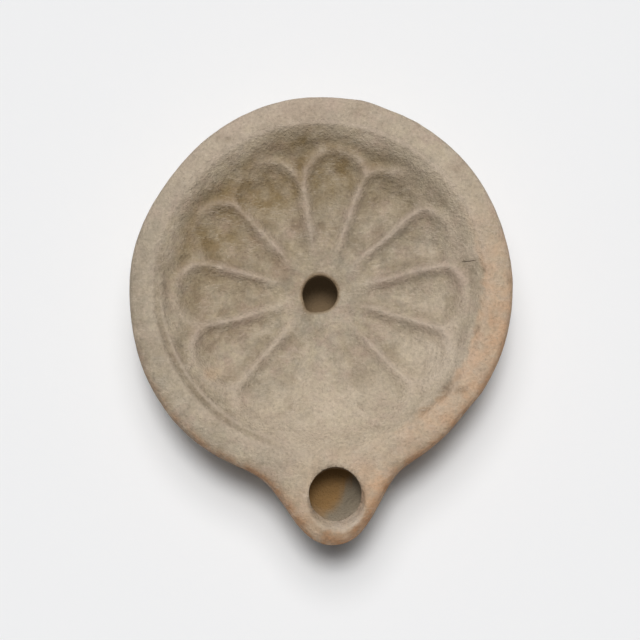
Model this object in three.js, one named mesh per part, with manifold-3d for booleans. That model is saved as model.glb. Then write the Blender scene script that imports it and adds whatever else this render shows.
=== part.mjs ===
// A round mould-made terracotta oil lamp with a rosette discus and a short rounded nozzle.
// Units are millimetres. +Z is up, the lamp stands on z = 0, and the nozzle points along -Y.
// The origin is the centre of the flat base. Angles are in degrees, counter-clockwise from +X.

import * as THREE from "three";
import { mergeVertices } from "three/addons/utils/BufferGeometryUtils.js";
import Module from "manifold-3d";

const wasm = await Module();
wasm.setup();

// ---------------------------------------------------------------- driving dimensions

const BODY_RADIUS = 39.5; // the widest part, just below the rim
const HEIGHT = 26.0; // from the base to the crest of the rim
const RIM_INNER_RADIUS = 34.2; // where the flat rim drops into the discus
const RIM_EDGE_Z = HEIGHT - 0.1;
const BASE_RADIUS = 17.6;
const WALL = 3.2;
const FLOOR_THICKNESS = 3.4;
const DISCUS_THICKNESS = 3.6; // before its petals are hollowed

// The outline bulges out or falls in at a few places, as on a lamp pressed by hand.
const SWELLS = [
  { at: 52, by: 0.5, spread: 34 },
  { at: 77, by: 0.3, spread: 5 },
  { at: 92, by: 0.35, spread: 24 },
  { at: 145, by: -0.95, spread: 22 },
  { at: 184, by: -0.3, spread: 14 },
  { at: 230, by: 1.05, spread: 26 },
  { at: 300, by: 0.6, spread: 9 },
  { at: 320, by: -0.35, spread: 6 },
];

// The nozzle leaves the round body a little to one side of the middle. Inside it is narrower.
const NOZZLE = { at: 273.4, reach: 13.0, spread: 13.6, sharpness: 2.3 };
const NOZZLE_CHANNEL = { ...NOZZLE, spread: 12.7 };

const WICK_HOLE = { x: 3.1, y: -42.1, radius: 5.6, top: HEIGHT + 4, bottom: 20.2 };
const WICK_LIP = { x: 3.4, y: -44.2, z: 30.2, radius: 7.4 }; // a ball that dishes the worn front lip
const FILLING_HOLE = { x: 0, y: -0.6, radius: 3.5, top: 24, bottom: 12 };
// The filling hole was pushed through by hand and is wider on two sides.
const FILLING_HOLE_PUSHES = [
  { at: 234, by: 0.18, spread: 20 },
  { at: 95, by: 0.06, spread: 45 },
];

// Discus: a shallow dish, and a steeper border that swings up from it to the rim.
const DISCUS_DEPTH = 7.0;
const DISCUS_RISE = 3.0; // from the middle out to the petal ends
const BORDER_START_RADIUS = 28.6;

// Rosette: the raised rays between the petals, not quite even. Each parts at a radius into the rounded
// ends of its two petals, of which some are worn down: before is the end on its clockwise side.
const RAYS = [
  { angle: 12, parts: 25.4, before: 0.9, after: 0.2 },
  { angle: 40, parts: 25.8, before: 0.9, after: 0.15 },
  { angle: 69, parts: 25.0, before: 1.0, after: 1.0 },
  { angle: 99, parts: 20.2, before: 1.0, after: 1.0 },
  { angle: 134, parts: 24.6, before: 0.2, after: 0.9 },
  { angle: 166, parts: 23.4, before: 0.1, after: 1.0 },
  { angle: 197, parts: 23.8, before: 0.6, after: 1.0 },
  { angle: 229, parts: 25.0, before: 0.8, after: 0.8 },
  { angle: 258, parts: 24.5, before: 0.3, after: 0.3 },
  { angle: 287, parts: 24.5, before: 0.3, after: 0.5 },
  { angle: 314, parts: 25.4, before: 0.6, after: 0.5 },
  { angle: 343, parts: 25.4, before: 0.8, after: 0.4 },
];
const ROSETTE_CENTRE = { x: 0, y: -0.6 };
const PETAL_END_RADIUS = 29.2;
const RIDGE_HEIGHT = 0.6;
const RIDGE_HALF_WIDTH = 0.8;
const GROOVE_DEPTH = 0.3; // beside the ridge, on both sides
const GROOVE_OFFSET = 1.5;
const GROOVE_HALF_WIDTH = 0.6;
const SCOOP_DEPTH = 1.15; // a petal's floor below the discus
const SCOOP_WIDTH = 5.4;
const RELIEF_START_RADIUS = 5;
const RELIEF_FULL_RADIUS = 14;
const WORN_SIDE = { at: 272, spread: 34, left: 0.15 }; // the relief is rubbed down beside the nozzle

// Mesh resolution.
const SEGMENTS_PER_PETAL = 10;
const SEGMENTS = RAYS.length * SEGMENTS_PER_PETAL;
const NEAR_RAY = [0, 0.75, 1.5, 2.4]; // distances from a ray at which a petal's outer segments start
const EVEN_ARCH_RADIUS = 20; // outward from here the segments turn to follow a petal's rounded end
const CHAMBER_SEGMENTS = 60;
const NOZZLE_GATHER = { share: 0.42, spread: 34 }; // the wall's segments close up at the nozzle

// ---------------------------------------------------------------- small helpers

const { clamp, lerp, smoothstep, degToRad, radToDeg } = THREE.MathUtils;

// The turn from angle b to angle a, between -180 and 180.
function turn(a, b) {
  return ((((a - b) % 360) + 540) % 360) - 180;
}

function bell(distance, width, sharpness = 2) {
  return Math.exp(-Math.pow(Math.abs(distance) / width, sharpness));
}

function toPolar(x, y) {
  return { r: Math.hypot(x, y), angle: radToDeg(Math.atan2(y, x)) };
}

function fromPolar(r, angle, z, centre = { x: 0, y: 0 }) {
  const a = degToRad(angle);
  return new THREE.Vector3(r * Math.cos(a) + centre.x, r * Math.sin(a) + centre.y, z);
}

// ---------------------------------------------------------------- plan outline

function nozzleReach(nozzle, angle) {
  return nozzle.reach * bell(turn(angle, nozzle.at), nozzle.spread, nozzle.sharpness);
}

function swell(angle) {
  return SWELLS.reduce((sum, s) => sum + s.by * bell(turn(angle, s.at), s.spread), 0);
}

// How much of the outline's departure from a circle is left at a height: all near the rim, none at
// the base. Along the nozzle this draws the underside of a prow.
function outlineShare(z) {
  const rise = clamp((z - 1) / 20, 0, 1);
  return Math.pow(Math.sin((rise * Math.PI) / 2), 1.25);
}

// ---------------------------------------------------------------- rosette

// A petal is a wedge between two rays, closed by a flattened arch.
function petal(index) {
  const i = (index + RAYS.length) % RAYS.length;
  const start = RAYS[i];
  const end = RAYS[(i + 1) % RAYS.length];
  const half = ((end.angle - start.angle + 360) % 360) / 2;
  return { index: i, start, end, half, middle: start.angle + half };
}

function petalAt(angle) {
  const around = (angle + 360) % 360;
  return petal(RAYS.findLastIndex((ray) => ray.angle <= around));
}

// Where a point lies in a petal: its turn from the middle, and its place on an arch of one by one.
function placeInPetal(p, r, angle) {
  const off = turn(angle, p.middle);
  const parts = off < 0 ? p.start.parts : p.end.parts;
  const archHeight = PETAL_END_RADIUS - parts;
  return { off, parts, archHeight, across: off / p.half, along: Math.max(r - parts, 0) / archHeight };
}

// Distance from one petal's outline in millimetres, negative inside it.
function distanceFromPetal(p, r, angle) {
  const { across, along, archHeight } = placeInPetal(p, r, angle);
  const halfWidth = degToRad(p.half) * Math.max(r, 1);
  const reach = Math.hypot(across, along);
  const steepness = Math.hypot(across / halfWidth, along / archHeight);
  return steepness > 1e-6 ? ((reach - 1) * reach) / steepness : -halfWidth;
}

// How much of the outline's ridge is left: all along the sides, less where the rounded end is worn.
function ridgeLeft(p, r, angle) {
  const { off, parts, archHeight } = placeInPetal(p, r, angle);
  const onArch = smoothstep(r, parts, parts + 0.6 * archHeight);
  const nearStart = p.start.after * (1 - smoothstep(off, -p.half, 0.6 * p.half));
  const nearEnd = p.end.before * smoothstep(off, -0.6 * p.half, p.half);
  return 1 - onArch * (1 - Math.min(nearStart + nearEnd, 1));
}

// The petal that a point is in or nearest to.
function nearestPetal(r, angle) {
  const { index } = petalAt(angle);
  const petals = [petal(index - 1), petal(index), petal(index + 1)];
  const distances = petals.map((p) => distanceFromPetal(p, r, angle));
  const distance = Math.min(...distances);
  return { p: petals[distances.indexOf(distance)], distance };
}

function reliefStrength(r, angle) {
  const worn = 1 - (1 - WORN_SIDE.left) * bell(turn(angle, WORN_SIDE.at), WORN_SIDE.spread);
  return worn * smoothstep(r, RELIEF_START_RADIUS, RELIEF_FULL_RADIUS);
}

function rosetteRelief(r, angle) {
  const { p, distance } = nearestPetal(r, angle);
  const ridge = RIDGE_HEIGHT * bell(distance, RIDGE_HALF_WIDTH);
  const groove = GROOVE_DEPTH * bell(Math.abs(distance) - GROOVE_OFFSET, GROOVE_HALF_WIDTH);
  const scoop = SCOOP_DEPTH * Math.sin((clamp(-distance / SCOOP_WIDTH, 0, 1) * Math.PI) / 2);
  return ((ridge - groove) * ridgeLeft(p, r, angle) - scoop) * reliefStrength(r, angle);
}

function discusHeight(r) {
  const middle = RIM_EDGE_Z - DISCUS_DEPTH;
  const dish = middle + DISCUS_RISE * (r / PETAL_END_RADIUS) ** 2;
  const dishAtRim = middle + DISCUS_RISE * (RIM_INNER_RADIUS / PETAL_END_RADIUS) ** 2;
  return dish + (RIM_EDGE_Z - dishAtRim) * smoothstep(r, BORDER_START_RADIUS, RIM_INNER_RADIUS);
}

// ---------------------------------------------------------------- outer skin

// The discus is laid out in rings whose lines run along the petals' rounded ends. Inner rings are named
// by their radius at a petal's middle, outer rings by their distance outside the petals.
const INNER_RINGS = [0, 6.5, 9.5, 13.5, 17.5, 21.3, 24.3, 26.2, 27.4, 28.3, PETAL_END_RADIUS];
const OUTER_RINGS = [0.75, 1.5, 2.4, 3.2];
const SHOULDER_RADIUS = 33.2; // the border, just before it rounds over into the rim

const RIM_PROFILE = [
  [SHOULDER_RADIUS, discusHeight(SHOULDER_RADIUS)],
  [RIM_INNER_RADIUS, RIM_EDGE_Z],
  [35.0, HEIGHT],
  [36.6, HEIGHT - 0.25],
  [38.2, HEIGHT - 0.7],
  [39.1, HEIGHT - 1.5],
  [BODY_RADIUS, HEIGHT - 2.9],
];
const WALL_PROFILE = [
  [39.2, 21.0],
  [37.6, 17.6],
  [34.8, 13.2],
  [30.6, 8.4],
  [25.8, 4.6],
  [21.6, 2.1],
  [18.5, 0.7],
];
const BASE_PROFILE = [
  [BASE_RADIUS, 0],
  [0, 0],
];

// The share of a petal's width at which segment k starts, on a ring crossing the straight sides.
function shareBetweenRays(k, r, p) {
  const fromEnd = Math.min(k, SEGMENTS_PER_PETAL - k);
  const even = fromEnd / SEGMENTS_PER_PETAL;
  if (fromEnd >= NEAR_RAY.length) return k / SEGMENTS_PER_PETAL;
  const width = degToRad(2 * p.half) * Math.max(r, 1);
  const near = Math.min(NEAR_RAY[fromEnd] / width, even);
  return k === fromEnd ? near : 1 - near;
}

// The angle of a point that lies a share of the way round the petal's arch.
function archAngle(p, share) {
  return p.middle + p.half * Math.sin(Math.PI * (share - 0.5));
}

// The radius at which the petal's arch crosses a line from the rosette's centre.
function archRadius(p, angle) {
  const { across, parts, archHeight } = placeInPetal(p, 0, angle);
  return parts + archHeight * Math.sqrt(Math.max(1 - across ** 2, 0));
}

// The radius at which a line from the rosette's centre is a distance outside the petal, by halving.
function radiusOutside(p, angle, distance) {
  let near = archRadius(p, angle);
  let far = SHOULDER_RADIUS;
  while (far - near > 0.001) {
    const r = (near + far) / 2;
    if (distanceFromPetal(p, r, angle) < distance) near = r;
    else far = r;
  }
  return near;
}

function rosettePoint(r, angle) {
  return fromPolar(r, angle, discusHeight(r) + rosetteRelief(r, angle), ROSETTE_CENTRE);
}

function innerRingPoint(ring, p, k) {
  const onSides = p.start.angle + 2 * p.half * shareBetweenRays(k, ring, p);
  const onArch = archAngle(p, k / SEGMENTS_PER_PETAL);
  const angle = lerp(onSides, onArch, smoothstep(ring, EVEN_ARCH_RADIUS, PETAL_END_RADIUS - 1));
  return rosettePoint((ring * archRadius(p, angle)) / PETAL_END_RADIUS, angle);
}

function outerRingPoint(distance, p, k) {
  const angle = archAngle(p, k / SEGMENTS_PER_PETAL);
  return rosettePoint(radiusOutside(p, angle, distance), angle);
}

function rimOrWallPoint(r, z, p, k) {
  const even = p.start.angle + (2 * p.half * k) / SEGMENTS_PER_PETAL;
  const acrossRim = clamp((r - RIM_INNER_RADIUS) / (BODY_RADIUS - RIM_INNER_RADIUS), 0, 1);
  const outside = z > HEIGHT - 2.9 ? acrossRim : 1;
  const off = turn(even, NOZZLE.at);
  const angle = even - off * NOZZLE_GATHER.share * bell(off, NOZZLE_GATHER.spread) * outside;
  const outward = (nozzleReach(NOZZLE, angle) + swell(angle)) * outlineShare(z) * outside;
  return fromPolar(r + outward, angle, z);
}

// Turns a closed three.js mesh, with its seams merged, into a manifold-3d solid.
function solidFrom(geometry) {
  const bare = geometry.clone();
  bare.deleteAttribute("normal");
  bare.deleteAttribute("uv");
  const merged = mergeVertices(bare, 1e-4);
  return new wasm.Manifold(
    new wasm.Mesh({
      numProp: 3,
      vertProperties: merged.attributes.position.array,
      triVerts: new Uint32Array(merged.index.array),
    }),
  );
}

// A lathe with a ring for each entry of a list, from the top to the bottom. Every vertex is placed by
// its ring's own function of the segment it starts. A lathe faces outward when its profile rises.
function shapedLathe(rings, segments) {
  const rising = [...rings].reverse();
  const profile = rising.map((ring, i) => new THREE.Vector2(i === 0 || i === rising.length - 1 ? 0 : 1, i));
  const geometry = new THREE.LatheGeometry(profile, segments);
  const position = geometry.attributes.position;
  for (let i = 0; i < position.count; i++) {
    const segment = Math.floor(i / rising.length) % segments;
    const place = rising[i % rising.length];
    const point = place(segment);
    position.setXYZ(i, point.x, point.y, point.z);
  }
  return geometry;
}

function outerSkin() {
  const inPetal = (place) => (segment) =>
    place(petal(Math.floor(segment / SEGMENTS_PER_PETAL)), segment % SEGMENTS_PER_PETAL);
  const rings = [
    ...INNER_RINGS.map((ring) => inPetal((p, k) => innerRingPoint(ring, p, k))),
    ...OUTER_RINGS.map((distance) => inPetal((p, k) => outerRingPoint(distance, p, k))),
    ...[...RIM_PROFILE, ...WALL_PROFILE, ...BASE_PROFILE].map(([r, z]) =>
      inPetal((p, k) => rimOrWallPoint(r, z, p, k)),
    ),
  ];
  return solidFrom(shapedLathe(rings, SEGMENTS));
}

// ---------------------------------------------------------------- oil chamber

// A profile moved into the wall's thickness, listed from the top to the bottom as the profile is.
function inset(profile, distance) {
  return profile.slice(1, -1).map(([r, z], i) => {
    const [aboveR, aboveZ] = profile[i];
    const [belowR, belowZ] = profile[i + 2];
    const length = Math.hypot(belowR - aboveR, belowZ - aboveZ);
    return [r + (distance * (belowZ - aboveZ)) / length, z - (distance * (belowR - aboveR)) / length];
  });
}

// Each ring of the chamber is a radius, a height, and how far the ring follows the outline into the nozzle.
const ROOF_RADII = [0, 14, 22, 27, 30.6];
const CHAMBER_RINGS = [
  ...ROOF_RADII.map((r) => [r, discusHeight(Math.min(r, PETAL_END_RADIUS)) - DISCUS_THICKNESS, 0]),
  [33.4, 21.2, 0.1],
  [34.8, 21.9, 0.55],
  [35.9, 21.0, 1],
  ...inset(WALL_PROFILE, WALL).map(([r, z]) => [r, z, 1]),
  [14, FLOOR_THICKNESS + 0.1, 0],
  [0, FLOOR_THICKNESS, 0],
];

function chamberPoint(r, z, follows, segment) {
  const angle = (segment * 360) / CHAMBER_SEGMENTS;
  const outward = (nozzleReach(NOZZLE_CHANNEL, angle) + swell(angle)) * outlineShare(z - WALL / 2);
  return fromPolar(r + outward * follows, angle, z);
}

function oilChamber() {
  const rings = CHAMBER_RINGS.map(([r, z, follows]) => (segment) => chamberPoint(r, z, follows, segment));
  return solidFrom(shapedLathe(rings, CHAMBER_SEGMENTS));
}

// ---------------------------------------------------------------- holes

function wickHoleCutter() {
  const { x, y, radius, top, bottom } = WICK_HOLE;
  const geometry = new THREE.CylinderGeometry(radius, radius, top - bottom, 36);
  geometry.rotateX(Math.PI / 2);
  geometry.translate(x, y, (top + bottom) / 2);
  return solidFrom(geometry);
}

function wickLipCutter() {
  const geometry = new THREE.SphereGeometry(WICK_LIP.radius, 36, 18);
  geometry.translate(WICK_LIP.x, WICK_LIP.y, WICK_LIP.z);
  return solidFrom(geometry);
}

function fillingHoleCutter() {
  const { x, y, radius, top, bottom } = FILLING_HOLE;
  const geometry = new THREE.CylinderGeometry(radius, radius, top - bottom, 28);
  geometry.rotateX(Math.PI / 2);
  const position = geometry.attributes.position;
  for (let i = 0; i < position.count; i++) {
    const { r, angle } = toPolar(position.getX(i), position.getY(i));
    const push = FILLING_HOLE_PUSHES.reduce((sum, s) => sum + s.by * bell(turn(angle, s.at), s.spread), 1);
    const point = fromPolar(r * push, angle, position.getZ(i) + (top + bottom) / 2, { x, y });
    position.setXYZ(i, point.x, point.y, point.z);
  }
  return solidFrom(geometry);
}

// ---------------------------------------------------------------- the lamp

// A plain mesh of a manifold-3d solid.
function geometryOf(solid) {
  const mesh = solid.getMesh();
  const positions = new Float32Array(mesh.numVert * 3);
  for (let i = 0; i < mesh.numVert; i++) {
    positions.set(mesh.vertProperties.subarray(i * mesh.numProp, i * mesh.numProp + 3), i * 3);
  }
  const geometry = new THREE.BufferGeometry();
  geometry.setAttribute("position", new THREE.BufferAttribute(positions, 3));
  geometry.setIndex(new THREE.BufferAttribute(mesh.triVerts, 1));
  geometry.computeVertexNormals();
  return geometry;
}

// One fired piece: its two moulded halves were luted together before firing.
function lampBody() {
  const shell = outerSkin()
    .subtract(oilChamber())
    .subtract(fillingHoleCutter())
    .subtract(wickHoleCutter())
    .subtract(wickLipCutter());
  const terracotta = new THREE.MeshStandardMaterial({ color: 0xb39c82, roughness: 0.92, metalness: 0 });
  const mesh = new THREE.Mesh(geometryOf(shell), terracotta);
  mesh.name = "lamp_body";
  return mesh;
}

const lamp = new THREE.Group();
lamp.add(lampBody());

export default lamp;
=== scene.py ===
"""A worn mould-made terracotta oil lamp with a rosette on its discus, on a pale studio floor."""

from __future__ import annotations

import logging
import math
from collections.abc import Callable, Sequence
from dataclasses import dataclass
from enum import Enum
from functools import partial
from typing import Any

import bmesh
import bpy
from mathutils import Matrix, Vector, noise

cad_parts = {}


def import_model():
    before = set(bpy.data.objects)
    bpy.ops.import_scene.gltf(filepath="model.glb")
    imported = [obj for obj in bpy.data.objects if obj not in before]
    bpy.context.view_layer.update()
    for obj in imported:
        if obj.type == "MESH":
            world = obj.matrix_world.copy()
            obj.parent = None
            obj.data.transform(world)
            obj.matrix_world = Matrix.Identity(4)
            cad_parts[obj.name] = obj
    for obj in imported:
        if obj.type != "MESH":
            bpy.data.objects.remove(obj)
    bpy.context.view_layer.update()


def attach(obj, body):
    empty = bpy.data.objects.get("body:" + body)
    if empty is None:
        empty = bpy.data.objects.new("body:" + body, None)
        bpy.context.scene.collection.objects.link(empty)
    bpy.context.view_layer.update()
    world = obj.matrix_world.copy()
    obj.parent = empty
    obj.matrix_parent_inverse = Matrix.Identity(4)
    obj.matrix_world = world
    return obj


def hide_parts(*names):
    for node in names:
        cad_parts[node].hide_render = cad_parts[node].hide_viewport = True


LOG = logging.getLogger("oil_lamp")
MM = 0.001  # all shapes are worked out in millimetres, and the scene is in metres
FOOT_HEIGHT = 0.3  # below this the lamp stands flat and isn't worn, in millimetres
MARKS_ABOVE = 15.0  # the single pits and lumps are all on the top, in millimetres
NOISE_SEED = 1  # keeps the petals' wavering the same at every run, which it isn't with a seed of 0
Pair = tuple[float, float]
Points = tuple[Pair, ...]
Corner = tuple[tuple[float, float, float], ...]
Adder = Callable[..., Any]


# ---- small maths and meshes


def turn(a: float, b: float) -> float:
    """Return the turn from angle b to angle a, from -180 to 180 degrees."""
    return (a - b + 180.0) % 360.0 - 180.0


def bell(distance: float, width: float, sharpness: float = 2.0) -> float:
    """Return 1 at no distance, falling smoothly to 0 past a width."""
    return math.exp(-((abs(distance) / width) ** sharpness))


def ramp(value: float, low: float, high: float) -> float:
    """Return 0 below low and 1 above high, with a smooth step between them."""
    share = min(max((value - low) / (high - low), 0.0), 1.0)
    return share * share * (3.0 - 2.0 * share)


def smooth_line(points: Sequence[Pair], step: float) -> list[Pair]:
    """Draw a smooth line through points.

    Args:
        points: Radius and height of each point, in millimetres.
        step: Longest distance between two points of the result.

    Returns:
        The line's points, from the first point given to the last.
    """
    line = [points[0]]
    for i in range(len(points) - 1):
        before = Vector(points[max(i - 1, 0)])
        start, end = Vector(points[i]), Vector(points[i + 1])
        after = Vector(points[min(i + 2, len(points) - 1)])
        count = max(1, math.ceil((end - start).length / step))
        for k in range(1, count + 1):
            t = k / count
            point = 0.5 * (
                2 * start
                + (end - before) * t
                + (2 * before - 5 * start + 4 * end - after) * t**2
                + (3 * start - before - 3 * end + after) * t**3
            )
            line.append((max(point.x, 0.0), point.y))
    return line


def add_object(name: str, bm: bmesh.types.BMesh) -> bpy.types.Object:
    """Return a linked, smooth object that holds a finished bmesh."""
    mesh = bpy.data.meshes.new(name)
    bm.to_mesh(mesh)
    bm.free()
    mesh.polygons.foreach_set("use_smooth", [True] * len(mesh.polygons))
    thing = bpy.data.objects.new(name, mesh)
    bpy.context.scene.collection.objects.link(thing)
    return thing


# ---- the lamp's form


@dataclass(frozen=True)
class Sector:
    """A part of the lamp's round, fullest at its middle angle and fading to both sides."""

    at: float
    spread: float
    sharpness: float = 2.0

    def cover(self, angle: float) -> float:
        """Return how much of an angle lies in the sector, from 0 to 1."""
        return bell(turn(angle, self.at), self.spread, self.sharpness)


@dataclass(frozen=True)
class Band:
    """A ring round the lamp that fills in outwards and may fade again."""

    start: float = -2.0
    full: float = -1.0
    fade: float = 98.0
    gone: float = 99.0
    left: float = 0.0  # share that never fades

    def cover(self, radius: float) -> float:
        """Return how much of a radius lies in the band, from 0 to 1."""
        faded = (1.0 - self.left) * ramp(radius, self.fade, self.gone)
        return ramp(radius, self.start, self.full) * (1.0 - faded)


@dataclass(frozen=True)
class Bump:
    """A place where a round outline stands out or falls in."""

    at: float
    by: float
    spread: float
    sharpness: float = 2.0

    def reach(self, angle: float) -> float:
        """Return how far the outline stands out at an angle, in millimetres."""
        return self.by * bell(turn(angle, self.at), self.spread, self.sharpness)


@dataclass(frozen=True)
class Outline:
    """The plan outline's departures from a circle: a hand-pressed rim and the nozzle."""

    swells: tuple[Bump, ...] = (
        Bump(52, 0.5, 34),
        Bump(77, 0.3, 5),
        Bump(92, 0.35, 24),
        Bump(145, -0.95, 22),
        Bump(184, -0.3, 14),
        Bump(230, 1.05, 26),
        Bump(300, 0.6, 9),
        Bump(320, -0.35, 6),
    )
    nozzle: Bump = Bump(273.4, 13.0, 13.6, 2.3)
    channel: Bump = Bump(273.4, 13.0, 12.7, 2.3)
    gather: float = 0.42
    gather_spread: float = 34.0
    round_to: float = 1.0  # the lamp is truly round up to this height
    full_over: float = 20.0  # and takes the outline over this much more
    slowness: float = 1.25

    def departure(self, angle: float, lining: float) -> float:
        """Return how far the outer wall, or the chamber's lining, stands out at an angle."""
        nozzle = self.channel if lining else self.nozzle
        return nozzle.reach(angle) + sum(swell.reach(angle) for swell in self.swells)

    def share(self, height: float) -> float:
        """Return how much of the departure is left at a height: all at the rim, none at the base."""
        rise = min(max((height - self.round_to) / self.full_over, 0.0), 1.0)
        return math.sin(rise * math.pi / 2) ** self.slowness

    def gathered(self, angle: float) -> float:
        """Return an angle drawn towards the nozzle, so that more of the wall's segments lie there."""
        off = turn(angle, self.nozzle.at)
        return angle - off * self.gather * bell(off, self.gather_spread)


@dataclass(frozen=True)
class Ray:
    """A raised line between two petals, which parts into their two rounded ends."""

    angle: float
    split: float  # radius at which it parts
    before: float  # how much is left of the rounded end on its clockwise side
    after: float  # and on its other side


@dataclass(frozen=True)
class Petal:
    """A wedge between two rays, closed by a flattened arch."""

    start: Ray
    end: Ray
    top: float

    def distance(self, radius: float, angle: float) -> float:
        """Return the distance from the petal's outline, negative inside it."""
        half, off, split = self._side(angle)
        width = math.radians(half) * max(radius, 1.0)
        across, along = off / half, max(radius - split, 0.0) / (self.top - split)
        reach = math.hypot(across, along)
        steepness = math.hypot(across / width, along / (self.top - split))
        return (reach - 1.0) * reach / steepness if steepness > 1e-6 else -width

    def kept(self, radius: float, angle: float) -> float:
        """Return how much of the outline's line is left: all along the sides, less where the arch is worn."""
        half, off, split = self._side(angle)
        arch = ramp(radius, split, split + 0.6 * (self.top - split))
        near_start = self.start.after * (1.0 - ramp(off, -half, 0.6 * half))
        near_end = self.end.before * ramp(off, -0.6 * half, half)
        return 1.0 - arch * (1.0 - min(near_start + near_end, 1.0))

    def _side(self, angle: float) -> tuple[float, float, float]:
        """Return the petal's half angle, the turn from its middle, and where the ray on that side parts."""
        half = ((self.end.angle - self.start.angle) % 360.0) / 2
        off = turn(angle, self.start.angle + half)
        return half, off, self.start.split if off < 0 else self.end.split


@dataclass(frozen=True)
class Rosette:
    """The petals pressed into the discus: thin raised borders, creased on both sides, and scooped floors."""

    rays: tuple[Ray, ...] = (
        Ray(12, 25.4, 0.9, 0.2),
        Ray(40, 25.8, 0.9, 0.15),
        Ray(69, 25.0, 1.0, 1.0),
        Ray(99, 20.2, 1.0, 1.0),
        Ray(134, 24.6, 0.2, 0.9),
        Ray(166, 23.4, 0.1, 1.0),
        Ray(197, 23.8, 0.6, 1.0),
        Ray(229, 25.0, 0.8, 0.8),
        Ray(258, 24.5, 0.3, 0.3),
        Ray(287, 24.5, 0.3, 0.5),
        Ray(314, 25.4, 0.6, 0.5),
        Ray(343, 25.4, 0.8, 0.4),
    )
    centre_y: float = -0.6
    top: float = 29.2
    ridge_height: float = 0.72
    ridge_width: float = 1.1
    crease_depth: float = 0.35
    crease_offset: float = 1.9
    crease_width: float = 0.9
    scoop_depth: float = 1.3
    scoop_width: float = 5.4
    fade_from: float = 5.0
    fade_to: float = 14.0
    worn: Bump = Bump(272, 0.85, 34)
    waver: float = 0.45
    waver_size: float = 8.0

    def polar(self, x: float, y: float) -> Pair:
        """Return a point's radius and angle about the rosette's centre."""
        return math.hypot(x, y - self.centre_y), math.degrees(math.atan2(y - self.centre_y, x)) % 360.0

    def nearest(self, x: float, y: float) -> Pair:
        """Find the petal that a point is in or nearest to.

        Returns:
            The distance from its outline, negative inside it, and how much of the outline's line is left.
        """
        shift = noise.noise_vector(Vector((x, y, 0.0)) / self.waver_size) * self.waver
        radius, angle = self.polar(x + shift.x, y + shift.y)
        index = max((i for i, ray in enumerate(self.rays) if ray.angle <= angle), default=-1)
        petals = [self._petal(index + step) for step in (-1, 0, 1)]
        near = min(petals, key=lambda petal: petal.distance(radius, angle))
        return near.distance(radius, angle), near.kept(radius, angle)

    def strength(self, x: float, y: float) -> float:
        """Return how much of the relief is left: less by the nozzle, none at the filling hole."""
        radius, angle = self.polar(x, y)
        return (1.0 - self.worn.reach(angle)) * ramp(radius, self.fade_from, self.fade_to)

    def relief(self, x: float, y: float) -> float:
        """Return the carving's height over the plain discus."""
        off, kept = self.nearest(x, y)
        ridge = self.ridge_height * bell(off, self.ridge_width)
        crease = self.crease_depth * bell(abs(off) - self.crease_offset, self.crease_width)
        scoop = self.scoop_depth * ramp(-off, 0.0, self.scoop_width)
        return ((ridge - crease) * kept - scoop) * self.strength(x, y)

    def _petal(self, index: int) -> Petal:
        """Return a petal by its number, counted round and round."""
        count = len(self.rays)
        return Petal(self.rays[index % count], self.rays[(index + 1) % count], self.top)


@dataclass(frozen=True)
class Mark:
    """A small dent or pit in the clay, oval in plan. One with a depth below zero is a lump."""

    x: float
    y: float
    length: float
    width: float
    lean: float
    depth: float
    sharpness: float = 2.6

    def cover(self, x: float, y: float) -> float:
        """Return how much of a point the mark covers, from 0 to 1."""
        lean = math.radians(self.lean)
        along = (x - self.x) * math.cos(lean) + (y - self.y) * math.sin(lean)
        across = (y - self.y) * math.cos(lean) - (x - self.x) * math.sin(lean)
        return bell(math.hypot(along / self.length, across / self.width), 1.0, self.sharpness)


@dataclass(frozen=True)
class Rib:
    """A fine line that runs round the lamp on one side. One with a height below zero is a groove."""

    radius: float
    height: float
    width: float
    tint_width: float
    sector: Sector

    def rise(self, radius: float, angle: float) -> float:
        """Return the line's height at a point."""
        return self.height * bell(radius - self.radius, self.width) * self.sector.cover(angle)

    def tint(self, radius: float, angle: float) -> float:
        """Return how much of the line's tint a point has, which on the rim's edge is partly a painted
        highlight and in the groove partly painted shade.
        """
        return bell(radius - self.radius, self.tint_width) * self.sector.cover(angle)


@dataclass(frozen=True)
class FillingHole:
    """The hole in the discus's middle, pushed a little wider in two places as it was poked through."""

    y: float = -0.6
    radius: float = 3.5
    edge: float = 0.9
    uneven_to: float = 9.0
    pushes: tuple[Bump, ...] = (Bump(234, 0.18, 20), Bump(95, 0.06, 45))

    def pushed(self, x: float, y: float, radius: float, angle: float) -> Pair:
        """Return where a point near the hole is pushed to."""
        share = 1.0 - ramp(radius, self.radius + self.edge, self.uneven_to)
        push = 1.0 + share * sum(bump.reach(angle) for bump in self.pushes)
        return x * push, y * push + self.y * share


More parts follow.
